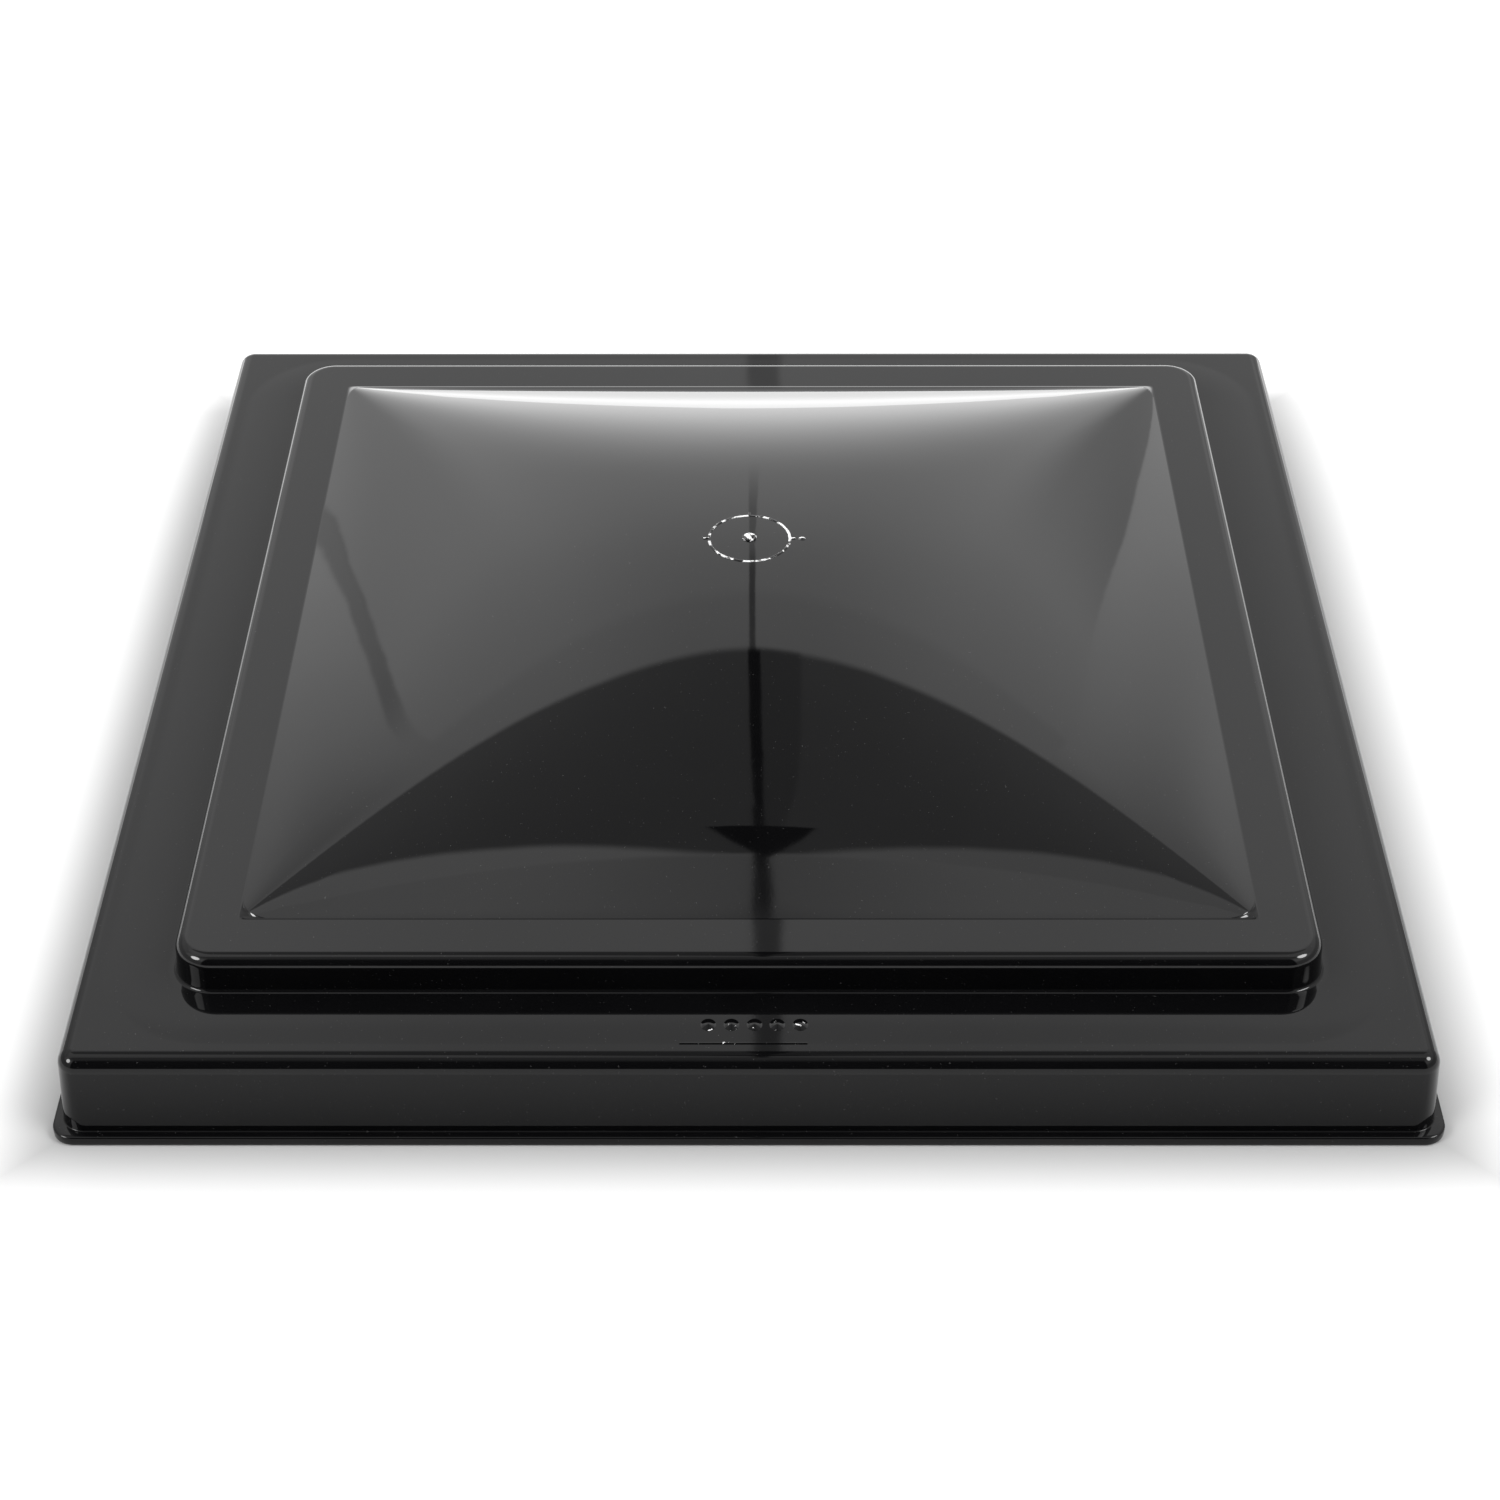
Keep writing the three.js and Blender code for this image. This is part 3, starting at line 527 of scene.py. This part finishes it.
def lid_skin():
    """The whole moulding as one closed skin, outside and inside, with a material for each zone: the
    outside's copies of one gloss black reflect less on the tier, flange and walls, which is painted
    shade.
    """
    def rings(corner, half, pairs):
        return [flat_ring(reach, max(corner + reach - half, 0.8), z) for reach, z in pairs]

    outside = dome_rings(DOME_HALF, DOME_CORNER, TIER_TOP)
    outside += rings(TIER_CORNER, TIER_HALF, outer_tier())
    outside += rings(SKIRT_CORNER, SKIRT_HALF, outer_skirt())
    outside += rings(LIP_CORNER, LIP_HALF, outer_lip())
    inside = rings(SKIRT_CORNER, SKIRT_HALF, inner_skirt())
    inside += rings(TIER_CORNER, TIER_HALF, inner_tier())
    dome_under = TIER_TOP - DOME_WALL
    inside += reversed(dome_rings(DOME_HALF - DOME_INSET, DOME_CORNER - 1, dome_under))
    top, under = (0, 0, TIER_TOP + DOME_RISE), (0, 0, dome_under + DOME_RISE)
    mesh = mesh_from("lid_skin", *skin(outside + inside, top, under))

    count = len(outside[0])
    dome_end, inside_start = (DOME_RING_COUNT - 1) * count, len(outside) * count - 1
    zones = (
        (TIER_WALL_TOP, TIER),
        (SKIRT_TOP + TIER_FILLET, WALLS),
        (SKIRT_TOP - SKIRT_ROUND, FLANGE),
        (LIP_THICKNESS + 0.5, WALLS),
        (-1, FLANGE),
    )

    def zone_material(polygon):
        """The outside reflects most on the dome and least on the walls, as painted shade; the inside is
        satin.
        """
        first, height = min(polygon.vertices), polygon.center.z * 1000
        if first >= inside_start:
            return SATIN
        if first < dome_end:
            return DOME
        return next(material for low, material in zones if height > low)

    zone_materials = [DOME, TIER, FLANGE, WALLS, SATIN]
    for material in zone_materials:
        mesh.materials.append(material)
    for polygon in mesh.polygons:
        polygon.material_index = zone_materials.index(zone_material(polygon))
    return mesh


def crown_height(x, y):
    """The height of the dome's outside."""
    return TIER_TOP + dome_rise(x, y)


def crown_marks():
    """A thin raised ring with three ticks and a dot, round the nub that the moulding gate leaves."""
    marks = Bodies()
    top, sunk = MARK_HEIGHT, MARK_SUNK

    def on_crown(x, y, height):
        return (x, y, crown_height(x, y) + height)

    def rounded(middle, reach, steps=10):
        """A ridge with a round back and steep sides."""
        ridge = [(middle - reach, sunk)]
        for step in range(steps + 1):
            angle = math.pi * step / steps
            ridge.append((middle - reach * math.cos(angle), top * math.sin(angle) - 0.02))
        return ridge + [(middle + reach, sunk)]

    def worn(x, y, height):
        """Fades the ring in places, as a shallow mould mark does."""
        angle = math.atan2(y, x)
        wear = 0.5 + 0.5 * math.sin(7 * angle + 1.3) * math.sin(11 * angle + 0.4)
        return on_crown(x, y, height * (1 - 0.6 * wear) if height > 0 else height)

    marks.hoop(rounded(MARK_RADIUS, MARK_WIDTH), 240, worn)
    for turn in range(3):
        cos, sin = [(1, 0), (0, 1), (-1, 0)][turn]
        marks.prism(rounded(0, MARK_WIDTH), MARK_RADIUS, MARK_RADIUS + TICK_LENGTH,
                    lambda u, v, along: on_crown(along * cos - u * sin, along * sin + u * cos, v))
    dot = [(0, sunk), (DOT_RADIUS, sunk), (DOT_RADIUS, 0)]
    dot += [(0.8, top * 0.6), (0.4, top * 1.2), (0, top * 1.4)]
    marks.hoop(dot, 16, lambda x, y, height: on_crown(x + MARK_RADIUS + DOT_X, y, height))
    nub = [(0, -1), (2.5, -1), (2.4, 0.3), (2.1, 0.55), (1.7, 0.45)]
    nub += [(1.4, 0.3), (1.1, 0.7), (0.6, 0.95), (0, 1)]
    marks.hoop(nub, 32, lambda x, y, height: (x, y, crown_height(0, 0) + height))
    return marks.mesh("crown_marks")


def front_marks():
    """A row of low oval pips over a thin rule, on the front flange."""
    marks = Bodies()
    flange = SKIRT_TOP + FLANGE_CROWN
    steps = 8
    cap = [(0, -1), (PIP_RADIUS, -1)]
    for step in range(steps + 1):
        part = 1 - step / steps
        cap.append((PIP_RADIUS * part, PIP_HEIGHT * (1 - part * part) ** 1.5))
    for x0 in PIP_X:
        marks.hoop(cap, 32, lambda x, y, height: (x0 + x * PIP_NARROW, PIP_Y + y, flange + height))
    half = RULE_WIDTH / 2
    bar = [(-half, MARK_SUNK), (-half, 0.1), (-half * 0.5, RULE_HEIGHT)]
    bar += [(half * 0.5, RULE_HEIGHT), (half, 0.1), (half, MARK_SUNK)]
    marks.prism(bar, *RULE_X, lambda u, v, along: (along, RULE_Y + u, SKIRT_TOP + v))
    return marks.mesh("front_marks")


def rib_section(half_length, place):
    """A rib's side view: straight below, and buried in the dome's wall above."""
    steps = 24
    section = [(-half_length, RAIL_BOTTOM), (half_length, RAIL_BOTTOM)]
    for step in range(steps + 1):
        along = half_length - 2 * half_length * step / steps
        section.append((along, crown_height(along, place) - DOME_WALL / 2))
    return section


def underside_ribs():
    """Rails, cross ribs and screw bosses under the dome."""
    ribs = Bodies()
    half = RAIL_WALL / 2
    boss_top = crown_height(SCREW_X, SCREW_Y) - DOME_WALL / 2
    boss = [(BOSS_HOLE_RADIUS, BOSS_BOTTOM + 0.4), (BOSS_HOLE_RADIUS + 0.4, BOSS_BOTTOM),
            (BOSS_RADIUS - 0.4, BOSS_BOTTOM), (BOSS_RADIUS, BOSS_BOTTOM + 0.4), (BOSS_RADIUS, boss_top),
            (0, boss_top), (0, BOSS_HOLE_TOP), (BOSS_HOLE_RADIUS, BOSS_HOLE_TOP - 0.5)]
    for side in (-1, 1):
        rail_x, cross_y = side * SCREW_X, side * SCREW_Y
        ribs.prism(rib_section(RAIL_HALF_LENGTH, SCREW_X), rail_x - half, rail_x + half,
                   lambda u, v, along: (along, u, v))
        ribs.prism(rib_section(CROSS_RIB_HALF_LENGTH, SCREW_Y), cross_y - half, cross_y + half,
                   lambda u, v, along: (u, along, v))
        for end in (-1, 1):
            ribs.hoop(boss, 32, lambda x, y, height: (rail_x + x, end * SCREW_Y + y, height))
    return ribs.mesh("underside_ribs")


def gasket_fence():
    """The low wall that keeps the foam in place, and the small gussets between skirt and flange."""
    fence = Bodies()
    inner, root = GASKET_RIB_HALF - GASKET_RIB_WALL, SKIRT_TOP - WALL / 2
    rings = [flat_ring(inner, 6, root), flat_ring(GASKET_RIB_HALF, 7.5, root),
             flat_ring(GASKET_RIB_HALF, 7.5, GASKET_RIB_BOTTOM), flat_ring(inner, 6, GASKET_RIB_BOTTOM)]
    points, faces = skin(rings + rings[:1])
    fence.add(points, faces)
    skirt = SKIRT_HALF - WALL / 2
    gusset = [(skirt, GUSSET_BOTTOM), (skirt, SKIRT_TOP - SKIRT_ROUND)]
    gusset += [(SKIRT_HALF - SKIRT_ROUND + 0.5, root), (GUSSET_REACH, root), (GUSSET_REACH, root - 3.2)]
    for cos, sin in ((0, -1), (-1, 0), (1, 0)):
        for place in (-1, 0, 1):
            middle = place * GUSSET_SPACING
            fence.prism(gusset, middle - GUSSET_WALL / 2, middle + GUSSET_WALL / 2,
                        lambda u, v, along: (u * cos - along * sin, u * sin + along * cos, v))
    return fence.mesh("gasket_fence")


add_object("lid_moulding", lid_skin(), None, "lid", ["lid_shell"])
add_object("lid_crown_marks", crown_marks(), CROWN_MARKS, "lid")
add_object("lid_front_marks", front_marks(), FRONT_MARKS, "lid")
ribs = add_object("lid_underside_ribs", underside_ribs(), SATIN, "lid")
fence = add_object("lid_gasket_fence", gasket_fence(), SATIN, "lid")
soften_edges(ribs, MOULDED_BEVEL)
soften_edges(fence, MOULDED_BEVEL)


# ---- CAD pieces with a better finish ------------------------------------------------------------------

def dress(node):
    """Copies a CAD node, rounds its edges a little and gives it its material."""
    slot = slot_of[node]
    material, bevel = LOOKS[slot]
    mesh = frame["nodes"][node].data.copy()
    body = bmesh.new()
    body.from_mesh(mesh)
    bmesh.ops.remove_doubles(body, verts=body.verts, dist=1e-6)
    bmesh.ops.dissolve_limit(body, angle_limit=math.radians(1), verts=body.verts, edges=body.edges)
    sharpen(body)
    body.to_mesh(mesh)
    body.free()
    piece = add_object("look_" + node, mesh, material, body_of[node], [node])
    if bevel:
        soften_edges(piece, bevel)


for node in sorted(frame["nodes"]):
    if node != "lid_shell":
        dress(node)


# ---- Floor --------------------------------------------------------------------------------------------

FLOOR_REACH, FLOOR_DROP, FLOOR_TONE = 6.0, 0.0003, 0.31
HALO_FROM, HALO_TO, HALO_LIGHT = 0.2, 0.24, 0.68
BACK_FROM, BACK_TO, BACK_LIGHT = 0.1, 0.9, 2.3


def make_floor():
    """A pale sweep with painted light: it glows brighter away from the object and behind it, and the glow
    is left out round the object as a painted shadow.
    """
    mesh = bpy.data.meshes.new("floor")
    corners = [(x * FLOOR_REACH, y * FLOOR_REACH, 0) for x, y in ((-1, -1), (1, -1), (1, 1), (-1, 1))]
    mesh.from_pydata(corners, [], [(0, 1, 2, 3)])
    floor = bpy.data.objects.new("floor", mesh)
    floor.location.z = -FLOOR_DROP
    scene.collection.objects.link(floor)
    material, n, shader, place = new_material("floor_paper")
    parts = n.add("ShaderNodeSeparateXYZ", {0: place})
    depth = parts.outputs[1]
    away = n.math("MAXIMUM", n.math("ABSOLUTE", parts.outputs[0]), n.math("ABSOLUTE", depth))
    # Painted shadow round the object: the floor's glow only starts away from it.
    halo = n.math("MULTIPLY", n.step(away, HALO_FROM, HALO_TO), HALO_LIGHT)
    # Painted light behind the object: the floor glows strongest there.
    glow = n.math("MULTIPLY_ADD", n.step(depth, BACK_FROM, BACK_TO), BACK_LIGHT, halo)
    n.fill(shader, {
        "Base Color": (FLOOR_TONE, FLOOR_TONE, FLOOR_TONE, 1),
        "Roughness": 0.9,
        "Emission Color": (1, 1, 1, 1),
        "Emission Strength": glow,
    })
    mesh.materials.append(material)


# ---- Light: a white tent, given as a brightness for each direction ------------------------------------
# Pairs are for the left and the right, or for the middle and the sides.

WALL_LIGHT, WALL_SIDE_EXTRA, WALL_FAR_EXTRA, WALL_TOP_SHARE = 1.19, 0.24, -0.15, 0.92
CORNER_LIGHT = 1.15, 0.85
FOLD_SPREAD, FOLD_LEAN, FOLD_EXTRA = (0.69, 0.613), (0.17, 0.106), -0.38
FOLD_LIGHT, FOLD_TOP_LIGHT, FOLD_LINE_SHARE = (1.28, 1.42), (1.3, 1.07), 0.66
LOW_EXTRA, FLANK_LIGHT = 1.4, 0.55
PANEL_LIGHT, ZENITH_LIGHT, ROOF_FRONT_LIGHT = (0.33, 0.5), (0.85, 1.2), 0.45
SEAM_LOW_SHARE, SEAM_HIGH_SHARE, SHADE_LIGHT, SPINE_LIGHT = 0.6, 0.5, 0.24, 0.02
FRONT_LIGHT, FRONT_TOP_LIGHT, FRONT_LOW_LIGHT = 0.01, 0.5, 0.5
SOFTBOXES, SOFTBOX_REACH, SOFTBOX_LIGHT = ((-0.682, -0.394, 0.616), (0.611, -0.199, 0.766)), 0.984, 17.0


class Tent(Nodes):
    """Nodes that work on the direction looked in: x to the right, y to the back and z up."""

    def __init__(self, tree):
        super().__init__(tree)
        self.direction = self.add("ShaderNodeTexCoord").outputs["Generated"]
        parts = self.add("ShaderNodeSeparateXYZ", {0: self.direction})
        self.x, self.y, self.z = parts.outputs[0], parts.outputs[1], parts.outputs[2]
        self.across = self.math("ABSOLUTE", self.x)
        self.slope = self.math("DIVIDE", self.x, self.math("MAXIMUM", self.y, 0.01))
        self.sideways = self.math("ABSOLUTE", self.slope)
        self.rear = self.step(self.y, 0.01, 0.03)
        self.right = self.step(self.x, -0.1, 0.1)

    def fades(self, value, low, high):
        """1 below low, 0 above high, smooth between."""
        return self.math("SUBTRACT", 1.0, self.step(value, low, high))

    def both(self, a, b):
        return self.math("MULTIPLY", a, b)

    def toward(self, light, mask, value):
        """Takes the light towards a value where the mask is 1."""
        return self.math("MULTIPLY_ADD", mask, self.math("SUBTRACT", value, light), light)

    def scaled(self, light, mask, share):
        """Takes the light towards a share of itself where the mask is 1."""
        return self.toward(light, mask, self.math("MULTIPLY", light, share))

    def extra(self, light, mask, amount):
        return self.math("MULTIPLY_ADD", mask, amount, light)

    def near(self, value, middle, low, high):
        """1 where the value is less than low from the middle, and 0 over high."""
        return self.fades(self.math("ABSOLUTE", self.math("ADD", value, -middle)), low, high)


def tent_walls(n):
    """Bright walls, dimmer low at the corners, with a fold on each side and a strong light low behind."""
    wall = n.extra(WALL_LIGHT, n.step(n.sideways, 0.1, 0.34), WALL_SIDE_EXTRA)
    wall = n.extra(wall, n.step(n.sideways, 0.42, 0.8), WALL_FAR_EXTRA)
    wall = n.scaled(wall, n.step(n.z, 0.68, 0.71), WALL_TOP_SHARE)
    corner = n.both(n.fades(n.z, 0.26, 0.48), n.both(n.step(n.sideways, 0.28, 0.42), n.rear))
    wall = n.toward(wall, corner, n.spread(n.right, *CORNER_LIGHT))

    fold = n.math("SUBTRACT", n.across, n.both(n.y, n.spread(n.right, *FOLD_SPREAD)))
    fold = n.math("MULTIPLY_ADD", n.z, n.spread(n.right, *FOLD_LEAN), fold)
    beyond = n.extra(n.spread(n.right, *FOLD_LIGHT), n.step(fold, 0.0, 0.12), FOLD_EXTRA)
    beyond = n.toward(beyond, n.step(n.z, 0.7, 0.85), n.spread(n.right, *FOLD_TOP_LIGHT))
    wall = n.toward(wall, n.both(n.step(fold, -0.003, 0.003), n.rear), beyond)
    line = n.both(n.near(fold, 0.006, 0.006, 0.011), n.fades(n.z, 0.45, 0.66))
    line = n.both(line, n.both(n.fades(n.x, -0.1, 0.1), n.rear))
    wall = n.scaled(wall, line, FOLD_LINE_SHARE)

    low = n.both(n.fades(n.z, 0.04, 0.38), n.both(n.fades(n.sideways, 0.12, 0.45), n.rear))
    wall = n.extra(wall, low, LOW_EXTRA)
    outward = n.math("MULTIPLY_ADD", n.y, -0.75, n.across)
    return n.toward(wall, n.both(n.fades(n.z, 0.35, 0.6), n.step(outward, 0.0, 0.15)), FLANK_LIGHT)


def tent_roof(n, wall):
    """A dimmer panel over the rear, a band at the zenith, and dark lines where the roof's cloths meet."""
    inside = n.math("SUBTRACT", n.math("MULTIPLY_ADD", n.y, 0.93, 0.012), n.across)
    panel = n.both(n.both(n.step(n.z, 0.776, 0.79), n.step(inside, 0.0, 0.03)), n.rear)
    light = n.toward(wall, panel, n.spread(n.step(n.across, 0.02, 0.3), *PANEL_LIGHT))
    zenith = n.both(n.step(n.z, 0.955, 0.975), n.fades(n.y, 0.01, 0.03))
    light = n.toward(light, zenith, n.spread(n.step(n.across, 0.0, 0.1), *ZENITH_LIGHT))
    roof_front = n.both(n.step(n.z, 0.7, 0.9), n.fades(n.y, -0.22, -0.13))
    light = n.toward(light, roof_front, ROOF_FRONT_LIGHT)

    seam = n.both(n.near(n.slope, 0.003, 0.005, 0.008), n.rear)
    slit = n.both(n.near(n.slope, 0.006, 0.012, 0.016), n.rear)
    shade = n.both(n.both(n.step(n.slope, 0.016, 0.024), n.fades(n.slope, 0.095, 0.105)), n.rear)
    light = n.scaled(light, n.both(seam, n.step(n.z, 0.3, 0.5)), SEAM_LOW_SHARE)
    light = n.scaled(light, n.both(seam, n.step(n.z, 0.58, 0.66)), SEAM_HIGH_SHARE)
    light = n.toward(light, n.both(slit, panel), 0.0)
    light = n.toward(light, n.both(shade, panel), SHADE_LIGHT)
    spine = n.both(n.fades(n.across, 0.002, 0.0035), n.step(n.z, 0.98, 0.985))
    light = n.toward(light, spine, SPINE_LIGHT)
    off_middle = n.math("ABSOLUTE", n.math("ADD", n.x, -0.002))
    wedge = n.math("SUBTRACT", n.math("MULTIPLY", n.y, 0.225), off_middle)
    gap = n.both(n.step(wedge, 0.0, 0.002), n.fades(n.y, 0.116, 0.119))
    return n.toward(light, n.both(gap, n.step(n.z, 0.9, 0.95)), 0.0)


def tent_front(n, light):
    """The dark opening at the front, with a little light at the horizon and overhead."""
    inward = n.math("SUBTRACT", n.math("MULTIPLY_ADD", n.y, -0.8, -0.08), n.across)
    opening = n.step(inward, 0.0, 0.1)
    low = n.both(n.fades(n.z, 0.01, 0.05), FRONT_LOW_LIGHT)
    high = n.spread(n.step(n.z, 0.72, 0.97), FRONT_LIGHT, FRONT_TOP_LIGHT)
    return n.toward(light, opening, n.math("ADD", low, high))


def softboxes(n, light):
    """Two small strong lamps, one on each side, that make the highlights on the corners and marks."""
    for towards in SOFTBOXES:
        inputs = {0: n.direction, 1: towards}
        aim = n.add("ShaderNodeVectorMath", inputs, operation="DOT_PRODUCT").outputs["Value"]
        lamp = n.step(aim, SOFTBOX_REACH - 0.008, SOFTBOX_REACH + 0.004)
        light = n.extra(light, lamp, SOFTBOX_LIGHT)
    return light


def make_world():
    world = bpy.data.worlds.new("tent")
    scene.world = world
    world.use_nodes = True
    n = Tent(world.node_tree)
    light = softboxes(n, tent_front(n, tent_roof(n, tent_walls(n))))
    background = n.add("ShaderNodeBackground", {"Color": (1, 1, 1, 1), "Strength": light})
    world.node_tree.links.new(background.outputs[0], world.node_tree.nodes["World Output"].inputs[0])


# ---- Camera -------------------------------------------------------------------------------------------

PITCH, YAW, ROLL = 38.19, -0.173, -0.116
TARGET, DISTANCE = Vector((0.0001, -0.0177, 0)), 1.0398
LENS, SENSOR = 71.19, 36


def make_camera():
    """A camera in front of the cover, looking down at it."""
    pitch, yaw, roll = math.radians(PITCH), math.radians(YAW), math.radians(ROLL)
    level_share = math.cos(pitch)
    forward = Vector((math.sin(yaw) * level_share, math.cos(yaw) * level_share, -math.sin(pitch)))
    level = forward.cross(Vector((0, 0, 1))).normalized()
    rise = level.cross(forward)
    right = level * math.cos(roll) + rise * math.sin(roll)
    up = rise * math.cos(roll) - level * math.sin(roll)
    camera = bpy.data.objects.new("camera", bpy.data.cameras.new("camera"))
    camera.data.lens = LENS
    camera.data.sensor_width = SENSOR
    camera.data.clip_start = 0.02
    turn = Matrix((right, up, -forward)).transposed().to_4x4()
    camera.matrix_world = Matrix.Translation(TARGET - forward * DISTANCE) @ turn
    scene.collection.objects.link(camera)
    scene.camera = camera


make_floor()
make_world()
make_camera()
scene.view_settings.view_transform = "Standard"
